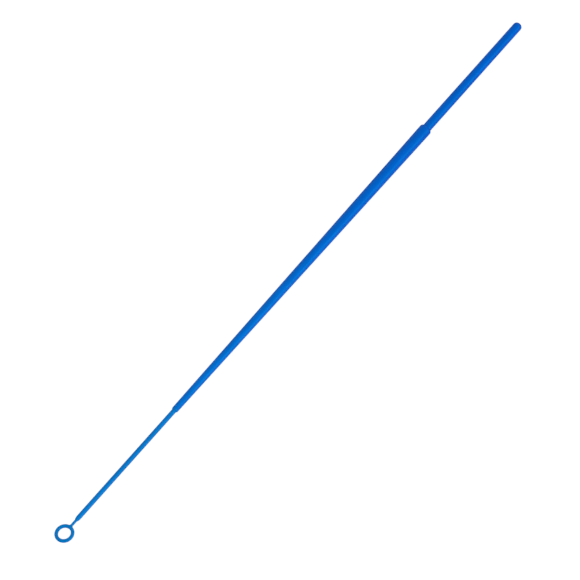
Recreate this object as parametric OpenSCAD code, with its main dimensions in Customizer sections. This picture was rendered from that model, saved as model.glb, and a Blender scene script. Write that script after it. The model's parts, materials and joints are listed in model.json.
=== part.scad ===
// Disposable inoculating loop for 10 microlitres: one slim moulding, in its own named sections.
// Millimetres. The origin is the centre of the loop's eye, +X runs along the shaft to the tail,
// and +Z is square to the ring, so the loop lies as it does on a bench.

/* [Whole loop] */
// Length over everything, from the far edge of the ring to the end of the tail
overall_len = 200; // [190:1:230]

/* [Ring] */
// Outside diameter of the ring
ring_od = 5.75; // [5.7:0.05:6.6]
// Diameter of the eye, which sets the volume that the loop picks up
eye_d = 3.7; // [3.4:0.05:3.9]
// Height of the ring, square to its plane
ring_h = 0.85; // [0.85:0.05:1]

/* [Neck] */
// Diameter of the thin neck between the ring and the stem
neck_d = 0.8; // [0.65:0.05:0.8]
// Length of the neck, from the ring's outer edge to the stem's nose
neck_len = 2; // [1.5:0.1:6]
// Radius of the fillets where the neck runs into the ring
fillet_r = 0.5; // [0.3:0.05:0.9]

/* [Stem] */
// Diameter of the stem
stem_d = 1.4; // [1.3:0.05:1.5]
// Length of the bullet-shaped nose at the front of the stem
nose_len = 1.4; // [0.8:0.1:2.5]

/* [Grip] */
// Length of the grip with its front step and rear shoulder
grip_len = 109.4; // [90:0.2:120]
// Diameter of the grip's thin front end
grip_front_d = 1.9; // [1.8:0.05:2]
// Diameter of the grip's thick rear end
grip_rear_d = 3.6; // [3.4:0.05:3.8]
// Length of the rounded step at the front of the grip
step_len = 0.35; // [0.35:0.05:0.8]
// Length of the rounded shoulder at the rear of the grip
shoulder_len = 0.75; // [0.7:0.05:1.5]

/* [Tail] */
// Diameter of the tail rod
tail_d = 2.6; // [2.4:0.05:2.8]
// Length of the tail behind the grip, with its domed end
tail_len = 40.6; // [30:0.1:50]
// Diameter of the small flat at the very end of the tail
tip_flat_d = 0.3; // [0.2:0.05:0.8]

/* [Hidden] */
$fn = 96;

// Radii of the parts and how far each section starts behind the eye's centre
ring_r = ring_od / 2;
eye_r = eye_d / 2;
neck_r = neck_d / 2;
stem_r = stem_d / 2;
tail_r = tail_d / 2;
tip_len = tail_r - tip_flat_d / 2;
tail_end_x = overall_len - ring_r;
tip_x = tail_end_x - tip_len;
tail_x = tail_end_x - tail_len;
shoulder_x = tail_x - shoulder_len;
grip_x = tail_x - grip_len;
nose_x = ring_r + neck_len;
stem_x = nose_x + nose_len;

// Edge radii of the ring's section: a full half round outside, small radii above and below the eye's land
outer_edge_r = ring_h / 2;
eye_edge_r = 0.25;
eye_land_h = ring_h - 2 * eye_edge_r;

// The web that carries the fillets is thinner than the neck and stops short of its sides
web_h = 0.4;
web_half_w = 0.25;

plastic_blue = [0.02, 0.39, 0.80];

// Stands a section that was drawn along +Z at its place along the shaft
module along_shaft(x) {
    translate([x, 0, 0])
        rotate([0, 90, 0])
            children();
}

// A rounded end along +Z with a flat tip: it rises from tip_r to base_r on one arc that runs out flush with base_r
module ogive(tip_r, base_r, length) {
    rise = base_r - tip_r;
    arc_r = (length * length + rise * rise) / (2 * rise);
    rotate_extrude() {
        square([tip_r, length]);
        intersection() {
            translate([base_r - arc_r, length])
                circle(arc_r);
            square([base_r, length]);
        }
    }
}

// Half section of the ring, to the right of its axis
module ring_section() {
    translate([eye_r + eye_edge_r, -ring_h / 2])
        square([ring_r - outer_edge_r - eye_r - eye_edge_r, ring_h]);
    translate([ring_r - outer_edge_r, 0])
        circle(outer_edge_r);
    translate([eye_r, -eye_land_h / 2])
        square([eye_edge_r, eye_land_h]);
    for (side = [-1, 1])
        translate([eye_r + eye_edge_r, side * eye_land_h / 2])
            circle(eye_edge_r);
}

module ring_solid() {
    rotate_extrude()
        ring_section();
}

// Outline of the web between the ring and the neck, hollowed on both sides by the fillet circles
module web_outline() {
    fillet_y = web_half_w + fillet_r;
    fillet_x = sqrt(pow(ring_r + fillet_r, 2) - pow(fillet_y, 2));
    ring_share = ring_r / (ring_r + fillet_r);
    root_x = fillet_x * ring_share;
    root_y = fillet_y * ring_share;
    difference() {
        polygon([
            [eye_r + eye_edge_r, 0],
            [root_x, -root_y],
            [fillet_x, -web_half_w],
            [fillet_x, web_half_w],
            [root_x, root_y]
        ]);
        for (side = [-1, 1])
            translate([fillet_x, side * fillet_y])
                circle(fillet_r);
    }
}

module loop_ring() {
    color(plastic_blue)
        ring_solid();
}

module loop_neck() {
    color(plastic_blue)
        difference() {
            union() {
                along_shaft((ring_r + eye_r) / 2)
                    cylinder(h = nose_x - (ring_r + eye_r) / 2, r = neck_r);
                linear_extrude(height = web_h, center = true)
                    web_outline();
            }
            ring_solid();
        }
}

module stem_nose() {
    color(plastic_blue)
        along_shaft(nose_x)
            ogive(neck_r, stem_r, nose_len);
}

module stem() {
    color(plastic_blue)
        along_shaft(stem_x)
            cylinder(h = grip_x - stem_x, r = stem_r);
}

module grip() {
    taper_len = grip_len - step_len - shoulder_len;
    color(plastic_blue)
        along_shaft(grip_x) {
            ogive(stem_r, grip_front_d / 2, step_len);
            translate([0, 0, step_len])
                cylinder(h = taper_len, r1 = grip_front_d / 2, r2 = grip_rear_d / 2);
        }
}

module grip_shoulder() {
    color(plastic_blue)
        along_shaft(tail_x)
            mirror([0, 0, 1])
                ogive(tail_r, grip_rear_d / 2, shoulder_len);
}

module tail_rod() {
    color(plastic_blue)
        along_shaft(tail_x)
            cylinder(h = tip_x - tail_x, r = tail_r);
}

module tail_tip() {
    color(plastic_blue)
        along_shaft(tail_end_x)
            mirror([0, 0, 1])
                ogive(tip_flat_d / 2, tail_r, tip_len);
}

loop_ring();
loop_neck();
stem_nose();
stem();
grip();
grip_shoulder();
tail_rod();
tail_tip();
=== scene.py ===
"""Looks of the disposable inoculating loop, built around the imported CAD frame.

The real object is one moulding, which the CAD model holds as named sections that meet face to face.
Each section gets a finer skin here, swept from the same profile, with the fine parting line that the
two mould halves leave in the plane of the ring. One blue plastic, worked out from where a point lies
on the shaft, covers them all. Everything is in metres, in the CAD frame: the eye's centre is the
origin and +X runs along the shaft to the tail.
"""

import json
import math

import bmesh
import bpy
from mathutils import Matrix, Vector


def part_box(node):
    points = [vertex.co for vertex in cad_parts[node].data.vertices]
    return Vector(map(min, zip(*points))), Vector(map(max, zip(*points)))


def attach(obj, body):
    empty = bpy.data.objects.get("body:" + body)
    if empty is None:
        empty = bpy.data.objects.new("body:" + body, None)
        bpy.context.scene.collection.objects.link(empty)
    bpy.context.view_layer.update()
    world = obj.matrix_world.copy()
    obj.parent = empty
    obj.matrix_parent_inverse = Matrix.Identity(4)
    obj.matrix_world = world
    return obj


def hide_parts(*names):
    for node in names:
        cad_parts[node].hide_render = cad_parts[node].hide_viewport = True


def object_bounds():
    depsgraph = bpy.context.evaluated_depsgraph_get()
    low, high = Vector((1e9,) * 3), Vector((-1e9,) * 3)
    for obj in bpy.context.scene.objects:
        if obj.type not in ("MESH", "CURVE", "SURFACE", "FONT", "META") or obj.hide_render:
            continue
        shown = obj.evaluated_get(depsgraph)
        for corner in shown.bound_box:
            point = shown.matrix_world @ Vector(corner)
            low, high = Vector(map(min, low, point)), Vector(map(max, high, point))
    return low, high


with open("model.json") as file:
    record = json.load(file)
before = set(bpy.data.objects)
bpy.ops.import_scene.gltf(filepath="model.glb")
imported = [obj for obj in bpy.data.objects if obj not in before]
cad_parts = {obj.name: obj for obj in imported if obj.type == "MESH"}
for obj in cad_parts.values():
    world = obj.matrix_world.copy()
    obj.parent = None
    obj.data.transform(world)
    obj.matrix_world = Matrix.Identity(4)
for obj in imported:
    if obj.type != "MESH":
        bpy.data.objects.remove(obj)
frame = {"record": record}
cad_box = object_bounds()

MM = 0.001
BODY = "root"
SLOT = "blue_polystyrene"

# Sizes that the frame gives
mounts = {m["name"]: m for m in frame["record"]["mounts"]}
eye_r = mounts["loop_eye"]["dims"]["r_mm"] * MM
tail_r = mounts["tail_rod"]["dims"]["r_mm"] * MM
ring_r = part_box("loop_ring")[1].y
tube_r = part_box("loop_ring")[1].z
neck_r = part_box("loop_neck")[1].z
stem_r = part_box("stem")[1].z
grip_rear_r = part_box("grip_shoulder")[1].z
nose_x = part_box("stem_nose")[0].x
stem_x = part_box("stem")[0].x
grip_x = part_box("grip")[0].x
shoulder_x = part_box("grip_shoulder")[0].x
tail_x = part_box("tail_rod")[0].x
tip_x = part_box("tail_tip")[0].x
end_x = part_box("tail_tip")[1].x

# The ring's outer edge is a half round of radius tube_r, whose centre runs round at this radius
path_r = ring_r - tube_r

# Sizes of the design that no box shows
GRIP_FRONT_R = 0.95 * MM
STEP_LEN = 0.35 * MM
TIP_FLAT_R = 0.15 * MM
FILLET_R = 0.5 * MM
EYE_EDGE_R = 0.25 * MM

# The parting line is a fine ridge in the ring's plane. Its crest lies on the nominal surface, and the
# rest of the skin lies below it by the ridge's height, so that the skin stays inside the CAD box.
RIDGE_H = 0.008 * MM
RIDGE_HALF_W = 0.04 * MM

# How finely the skins are divided
SIDE_STEPS = 36
ARC_STEPS = 10
RING_STEPS = 144
LONG_STEP = 2.5 * MM
THIRDS = (1 / 3, 2 / 3)
QUARTERS = (0.25, 0.5, 0.75)

# Patterns in the plastic: how long each is down the shaft and how wide across it
CLOUD_SIZE = (5 * MM, 1.5 * MM)
STREAK_SIZE = (8 * MM, 0.12 * MM)
POLISH_SIZE = (3 * MM, 0.06 * MM)
PEEL_SIZE = (0.5 * MM, 0.35 * MM)
NOISE_SPREAD = (0.3, 0.7)  # nearly all of a noise texture's values lie between these
CLOUD_SHADE = (0.94, 1.06)
STREAK_SHADE = (0.93, 1.07)
ROUGHNESS = (0.2, 0.4)
RELIEF_DEPTH = 0.012 * MM

# Floor, tent of light and lamp; the near side is -Y
FLOOR_HALF = 8.0
FLOOR_GREY = 0.15
FLOOR_GLOW = 0.91
TENT_NEAR, TENT_FAR = 0.98, 0.72
HORIZON = 0.1  # half the height over which the tent fades into the dark below, on a sphere of radius 1
LAMP_W, LAMP_H = 1.2, 0.45
LAMP_POWER = 4.0
LAMP_PLACE = (0.1, -0.9, 0.34)
LAMP_AIM = (0.1, 0, 0)

# Camera: its angles in degrees, and the point it looks at, as a shift from the middle of the shaft
CAMERA_AZIMUTH = -28.22
CAMERA_ELEVATION = 60.54
CAMERA_ROLL = -23.18
CAMERA_DISTANCE = 4.0
CAMERA_LENS = 885.2
CAMERA_REACH = 20.0
AIM_SHIFT = (-3.39 * MM, -1.51 * MM, -0.75 * MM)


def ridge_drop(z):
    """How far the skin at height z lies below the nominal surface: nothing on the ridge's crest."""
    return RIDGE_H * min(1.0, abs(z) / RIDGE_HALF_W)


def around(radius):
    """Angles once round a section of that radius, closer together at the two crests."""
    edge = math.asin(RIDGE_HALF_W / radius)
    half = [0.0, edge / 2]
    half += [edge + (math.pi - 2 * edge) * i / SIDE_STEPS for i in range(SIDE_STEPS + 1)]
    half += [math.pi - edge / 2]
    return half + [a + math.pi for a in half]


def section_loop(x, radius):
    """The points of the shaft's skin round one station."""
    points = []
    for angle in around(radius):
        r = radius - ridge_drop(radius * math.sin(angle))
        points.append(Vector((x, r * math.cos(angle), r * math.sin(angle))))
    return points


def straight(x0, x1, r0, r1):
    """Stations (x, radius) of a straight or tapered stretch."""
    count = max(1, round((x1 - x0) / LONG_STEP))
    return [(x0 + (x1 - x0) * i / count, r0 + (r1 - r0) * i / count) for i in range(count + 1)]


def rounded(x_tip, x_base, tip_r, base_r):
    """Stations of a rounded end, tip first, on one arc that runs out flush at the base."""
    length = abs(x_base - x_tip)
    rise = base_r - tip_r
    arc_r = (length ** 2 + rise ** 2) / (2 * rise)
    sweep = math.atan2(length, arc_r - rise)
    step = (x_base - x_tip) / length
    stations = []
    for i in range(ARC_STEPS + 1):
        angle = sweep * (1 - i / ARC_STEPS)
        x = x_base - step * arc_r * math.sin(angle)
        stations.append((x, base_r - arc_r * (1 - math.cos(angle))))
    return stations


def new_object(name, bm):
    """A new object in the scene from a bmesh, with its faces turned outwards."""
    bmesh.ops.recalc_face_normals(bm, faces=bm.faces)
    mesh = bpy.data.meshes.new(name)
    bm.to_mesh(mesh)
    bm.free()
    obj = bpy.data.objects.new(name, mesh)
    bpy.context.scene.collection.objects.link(obj)
    return obj


def neighbours(loop):
    """Each vertex of a closed loop with the one after it."""
    return zip(loop, loop[1:] + loop[:1])


def bridge(bm, loops, wrap=False):
    """Rows of smooth quads between closed loops that follow each other, and round to the first to wrap."""
    following = loops[1:] + loops[:1] if wrap else loops[1:]
    for low, high in zip(loops, following):
        for (a, b), (d, c) in zip(neighbours(low), neighbours(high)):
            bm.faces.new((a, b, c, d)).smooth = True


def fan(bm, loop, centre, smooth):
    """Closes a loop with triangles to its centre."""
    hub = bm.verts.new(centre)
    for a, b in neighbours(loop):
        bm.faces.new((a, b, hub)).smooth = smooth


def sharpen(bm, loop):
    """Marks the edges along a loop as sharp."""
    for edge in neighbours(loop):
        bm.edges.get(edge).smooth = False


def cap(bm, loop, centre):
    """Closes a loop with a flat fan that has a sharp rim."""
    fan(bm, loop, centre, smooth=False)
    sharpen(bm, loop)


def shaft_skin(name, stations):
    """A closed skin of revolution along the shaft, from its stations."""
    bm = bmesh.new()
    loops = [[bm.verts.new(p) for p in section_loop(x, r)] for x, r in stations]
    bridge(bm, loops)
    cap(bm, loops[0], (stations[0][0], 0, 0))
    cap(bm, loops[-1], (stations[-1][0], 0, 0))
    return new_object(name, bm)


def ring_profile():
    """Half section of the ring as (distance from its axis, height), from the outer crest round to it."""
    crest = math.asin(RIDGE_HALF_W / tube_r)
    arc = [crest + (math.pi / 2 - crest) * i / ARC_STEPS for i in range(ARC_STEPS + 1)]
    edge_x = eye_r + EYE_EDGE_R
    edge_z = tube_r - EYE_EDGE_R

    # Each point of the upper half has the angle at which its surface faces
    upper = [(path_r + tube_r * math.cos(a), tube_r * math.sin(a), a) for a in [0.0, crest / 2] + arc]
    upper += [(path_r - (path_r - edge_x) * share, tube_r, math.pi / 2) for share in THIRDS]
    for i in range(ARC_STEPS + 1):
        a = math.pi / 2 * (1 + i / ARC_STEPS)
        upper.append((edge_x + EYE_EDGE_R * math.cos(a), edge_z + EYE_EDGE_R * math.sin(a), a))
    upper += [(eye_r, RIDGE_HALF_W, math.pi), (eye_r, RIDGE_HALF_W / 2, math.pi)]
    inner_crest = [(eye_r, 0.0, math.pi)]
    lower = [(r, -z, -a) for r, z, a in reversed(upper[1:])]

    points = []
    for r, z, a in upper + inner_crest + lower:
        drop = ridge_drop(z)
        points.append((r - drop * math.cos(a), z - drop * math.sin(a)))
    return points


def ring_skin(name):
    """The ring, its half section swept once round the eye."""
    bm = bmesh.new()
    profile = ring_profile()
    loops = []
    for i in range(RING_STEPS):
        angle = 2 * math.pi * i / RING_STEPS
        loops.append([bm.verts.new((r * math.cos(angle), r * math.sin(angle), z)) for r, z in profile])
    bridge(bm, loops, wrap=True)
    return new_object(name, bm)


def fillet_column(angle):
    """Points of the fillet at one angle round the neck, from the neck's side to the ring's.

    A ball of the fillet's radius rolls round the corner, touching the neck and the ring's outer edge.
    """
    away = neck_r + FILLET_R
    y = away * math.cos(angle)
    z = away * math.sin(angle)
    reach = path_r + math.sqrt((tube_r + FILLET_R) ** 2 - z ** 2)
    x = math.sqrt(reach ** 2 - y ** 2)
    ball = Vector((x, y, z))
    tube_centre = Vector((x, y, 0)) * (path_r / reach)
    to_neck = Vector((0, -math.cos(angle), -math.sin(angle)))
    to_ring = (tube_centre - ball).normalized()
    points = []
    for i in range(ARC_STEPS + 1):
        turned = to_neck.slerp(to_ring, i / ARC_STEPS)
        point = ball + turned * FILLET_R
        points.append(point + turned * ridge_drop(point.z))
    return points


def on_ring(y, z):
    """The point of the ring's outer skin that lies at that y and z."""
    skin_r = tube_r - ridge_drop(z)
    reach = path_r + math.sqrt(max(0.0, skin_r ** 2 - z ** 2))
    return Vector((math.sqrt(reach ** 2 - y ** 2), y, z))


def neck_skin(name):
    """The neck, from the stem's nose down to the fillets, with its foot lying on the ring."""
    columns = [fillet_column(a) for a in around(neck_r)]
    rows = [section_loop(nose_x, neck_r)]
    for share in QUARTERS:
        rows.append([p.lerp(column[0], share) for p, column in zip(rows[0], columns)])
    rows += [list(row) for row in zip(*columns)]
    rim = len(rows) - 1
    for share in reversed(QUARTERS):
        rows.append([on_ring(p.y * share, p.z * share) for p in rows[rim]])

    bm = bmesh.new()
    loops = [[bm.verts.new(p) for p in row] for row in rows]
    bridge(bm, loops)
    cap(bm, loops[0], (nose_x, 0, 0))
    fan(bm, loops[-1], on_ring(0, 0), smooth=True)
    sharpen(bm, loops[rim])
    return new_object(name, bm)


def link_map(nodes, links, source, source_range, result_range):
    """A Map Range node after source; gives its output."""
    node = nodes.new("ShaderNodeMapRange")
    node.inputs["From Min"].default_value, node.inputs["From Max"].default_value = source_range
    node.inputs["To Min"].default_value, node.inputs["To Max"].default_value = result_range
    links.new(source, node.inputs["Value"])
    return node.outputs["Result"]


def link_math(nodes, links, operation, first, second):
    """A Math node that works on two outputs; gives its own."""
    node = nodes.new("ShaderNodeMath")
    node.operation = operation
    links.new(first, node.inputs[0])
    links.new(second, node.inputs[1])
    return node.outputs["Value"]


def stretched_noise(nodes, links, place, size, detail):
    """Noise whose grains have that length down the shaft and that width across; gives its output."""
    along, across = size
    mapping = nodes.new("ShaderNodeMapping")
    mapping.inputs["Scale"].default_value = (1 / along, 1 / across, 1 / across)
    links.new(place, mapping.inputs["Vector"])
    noise = nodes.new("ShaderNodeTexNoise")
    noise.inputs["Scale"].default_value = 1.0
    noise.inputs["Detail"].default_value = detail
    links.new(mapping.outputs["Vector"], noise.inputs["Vector"])
    return noise.outputs["Fac"]


def section_tint(nodes, links, place):
    """The plastic's colour by place, lighter and greener at the thin end; gives its output."""

    # Places along the shaft, each with the tint there in linear light
    lower_grip_x = grip_x + 40 * MM
    upper_grip_x = grip_x + 75 * MM
    stops = [
        (-ring_r, (0.0020, 0.157, 0.500)),
        (nose_x, (0.0020, 0.157, 0.500)),
        (stem_x, (0.0022, 0.150, 0.515)),
        (grip_x, (0.0022, 0.150, 0.520)),
        (grip_x + STEP_LEN, (0.0012, 0.123, 0.535)),
        (lower_grip_x, (0.0010, 0.114, 0.530)),
        (upper_grip_x, (0.0007, 0.098, 0.515)),
        (shoulder_x, (0.0005, 0.089, 0.503)),
        (tail_x, (0.0006, 0.092, 0.503)),
        (end_x, (0.0004, 0.084, 0.498)),
    ]
    axes = nodes.new("ShaderNodeSeparateXYZ")
    links.new(place, axes.inputs[0])
    along = link_map(nodes, links, axes.outputs["X"], (-ring_r, end_x), (0, 1))
    tint = nodes.new("ShaderNodeValToRGB")
    elements = tint.color_ramp.elements
    while len(elements) < len(stops):
        elements.new(0.5)
    for element, (x, colour) in zip(elements, stops):
        element.position = (x + ring_r) / (end_x + ring_r)
        element.color = (*colour, 1)
    links.new(along, tint.inputs["Fac"])
    return tint.outputs["Color"]


def blue_plastic():
    """Pigmented polystyrene from a polished mould: a soft sheen, faint flow streaks and a fine grain."""
    material = bpy.data.materials.new(SLOT)
    material.use_nodes = True
    nodes, links = material.node_tree.nodes, material.node_tree.links
    shader = nodes["Principled BSDF"]
    place = nodes.new("ShaderNodeTexCoord").outputs["Object"]

    # Pigment: slow clouds and long thin flow streaks change the section's tint by a few per cent
    clouds = stretched_noise(nodes, links, place, CLOUD_SIZE, detail=2)
    streaks = stretched_noise(nodes, links, place, STREAK_SIZE, detail=3)
    cloud_shade = link_map(nodes, links, clouds, NOISE_SPREAD, CLOUD_SHADE)
    streak_shade = link_map(nodes, links, streaks, NOISE_SPREAD, STREAK_SHADE)
    pigment = nodes.new("ShaderNodeVectorMath")
    pigment.operation = "SCALE"
    links.new(section_tint(nodes, links, place), pigment.inputs["Vector"])
    links.new(link_math(nodes, links, "MULTIPLY", cloud_shade, streak_shade), pigment.inputs["Scale"])
    links.new(pigment.outputs["Vector"], shader.inputs["Base Color"])

    # Gloss: it varies along the mould's long thin polishing lines
    polish = stretched_noise(nodes, links, place, POLISH_SIZE, detail=2)
    links.new(link_map(nodes, links, polish, NOISE_SPREAD, ROUGHNESS), shader.inputs["Roughness"])

    # Relief: the same polishing lines and a faint orange peel, a few microns deep
    peel = stretched_noise(nodes, links, place, PEEL_SIZE, detail=3)
    relief = nodes.new("ShaderNodeBump")
    relief.inputs["Strength"].default_value = 1.0
    relief.inputs["Distance"].default_value = RELIEF_DEPTH
    links.new(link_math(nodes, links, "ADD", peel, polish), relief.inputs["Height"])
    links.new(relief.outputs["Normal"], shader.inputs["Normal"])

    # Reflection: weak, and tinted so that highlights stay blue
    shader.inputs["IOR"].default_value = 1.59
    shader.inputs["Specular IOR Level"].default_value = 0.2
    shader.inputs["Specular Tint"].default_value = (0.0, 1.0, 0.9, 1)
    return material


def build_skins():
    """Every visible piece, by the CAD node that it stands for."""
    taper_x = grip_x + STEP_LEN
    nose = rounded(nose_x, stem_x, neck_r, stem_r)
    front_step = rounded(grip_x, taper_x, stem_r, GRIP_FRONT_R)
    taper = straight(taper_x, shoulder_x, GRIP_FRONT_R, grip_rear_r)
    shoulder = rounded(tail_x, shoulder_x, tail_r, grip_rear_r)
    dome = rounded(end_x, tip_x, TIP_FLAT_R, tail_r)
    return {
        "loop_ring": ring_skin("loop_ring_moulding"),
        "loop_neck": neck_skin("loop_neck_moulding"),
        "stem_nose": shaft_skin("stem_nose_moulding", nose),
        "stem": shaft_skin("stem_moulding", straight(stem_x, grip_x, stem_r, stem_r)),
        "grip": shaft_skin("grip_moulding", front_step[:-1] + taper),
        "grip_shoulder": shaft_skin("grip_shoulder_moulding", shoulder),
        "tail_rod": shaft_skin("tail_rod_moulding", straight(tail_x, tip_x, tail_r, tail_r)),
        "tail_tip": shaft_skin("tail_tip_moulding", dome),
    }


def make_floor():
    """A plain white table that glows a little, at the height that the loop lies on.

    Glossy rays pass it by, so that the loop's rims stay dark and crisp against it.
    """
    bm = bmesh.new()
    corners = [(-1, -1), (1, -1), (1, 1), (-1, 1)]
    bm.faces.new([bm.verts.new((x * FLOOR_HALF, y * FLOOR_HALF, cad_box[0].z)) for x, y in corners])
    floor = new_object("floor", bm)
    material = bpy.data.materials.new("white_table")
    material.use_nodes = True
    shader = material.node_tree.nodes["Principled BSDF"]
    shader.inputs["Base Color"].default_value = (FLOOR_GREY, FLOOR_GREY, FLOOR_GREY, 1)
    shader.inputs["Roughness"].default_value = 0.8
    shader.inputs["Specular IOR Level"].default_value = 0.0
    shader.inputs["Emission Color"].default_value = (1, 1, 1, 1)
    shader.inputs["Emission Strength"].default_value = FLOOR_GLOW
    floor.data.materials.append(material)
    floor.visible_glossy = False


def make_light():
    """A white tent of light, brighter on the near side and dark below, and one large soft lamp."""
    world = bpy.data.worlds.new("studio")
    bpy.context.scene.world = world
    world.use_nodes = True
    nodes, links = world.node_tree.nodes, world.node_tree.links
    direction = nodes.new("ShaderNodeSeparateXYZ")
    links.new(nodes.new("ShaderNodeTexCoord").outputs["Generated"], direction.inputs[0])
    tent = link_map(nodes, links, direction.outputs["Y"], (-1, 1), (TENT_NEAR, TENT_FAR))
    above = link_map(nodes, links, direction.outputs["Z"], (-HORIZON, HORIZON), (0.0, 1.0))
    background = nodes["Background"]
    background.inputs["Color"].default_value = (1, 1, 1, 1)
    links.new(link_math(nodes, links, "MULTIPLY", tent, above), background.inputs["Strength"])

    lamp = bpy.data.lights.new("soft_lamp", "AREA")
    lamp.shape = "RECTANGLE"
    lamp.size = LAMP_W
    lamp.size_y = LAMP_H
    lamp.energy = LAMP_POWER
    obj = bpy.data.objects.new("soft_lamp", lamp)
    bpy.context.scene.collection.objects.link(obj)
    obj.location = LAMP_PLACE
    aim = Vector(LAMP_AIM) - obj.location
    obj.rotation_mode = "QUATERNION"
    obj.rotation_quaternion = aim.to_track_quat("-Z", "Y")


def make_camera():
    """A long lens that looks down from the ring's side, rolled so that the shaft stands steep."""
    azimuth = math.radians(CAMERA_AZIMUTH)
    elevation = math.radians(CAMERA_ELEVATION)
    roll = math.radians(CAMERA_ROLL)
    target = Vector((end_x / 2 + AIM_SHIFT[0], AIM_SHIFT[1], AIM_SHIFT[2]))
    back = Vector((
        math.sin(azimuth) * math.cos(elevation),
        -math.cos(azimuth) * math.cos(elevation),
        math.sin(elevation),
    ))
    camera = bpy.data.objects.new("camera", bpy.data.cameras.new("camera"))
    bpy.context.scene.collection.objects.link(camera)
    camera.data.lens = CAMERA_LENS
    camera.data.clip_end = CAMERA_REACH
    camera.rotation_mode = "QUATERNION"
    camera.location = target + back * CAMERA_DISTANCE
    turn = Matrix.Rotation(roll, 3, back)
    camera.rotation_quaternion = (turn @ (-back).to_track_quat("-Z", "Y").to_matrix()).to_quaternion()
    bpy.context.scene.camera = camera


make_camera()
make_light()
make_floor()
bpy.context.scene.view_settings.view_transform = "Standard"

plastic = blue_plastic()
for node, skin in build_skins().items():
    skin.data.materials.append(plastic)
    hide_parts(node)
    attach(skin, BODY)
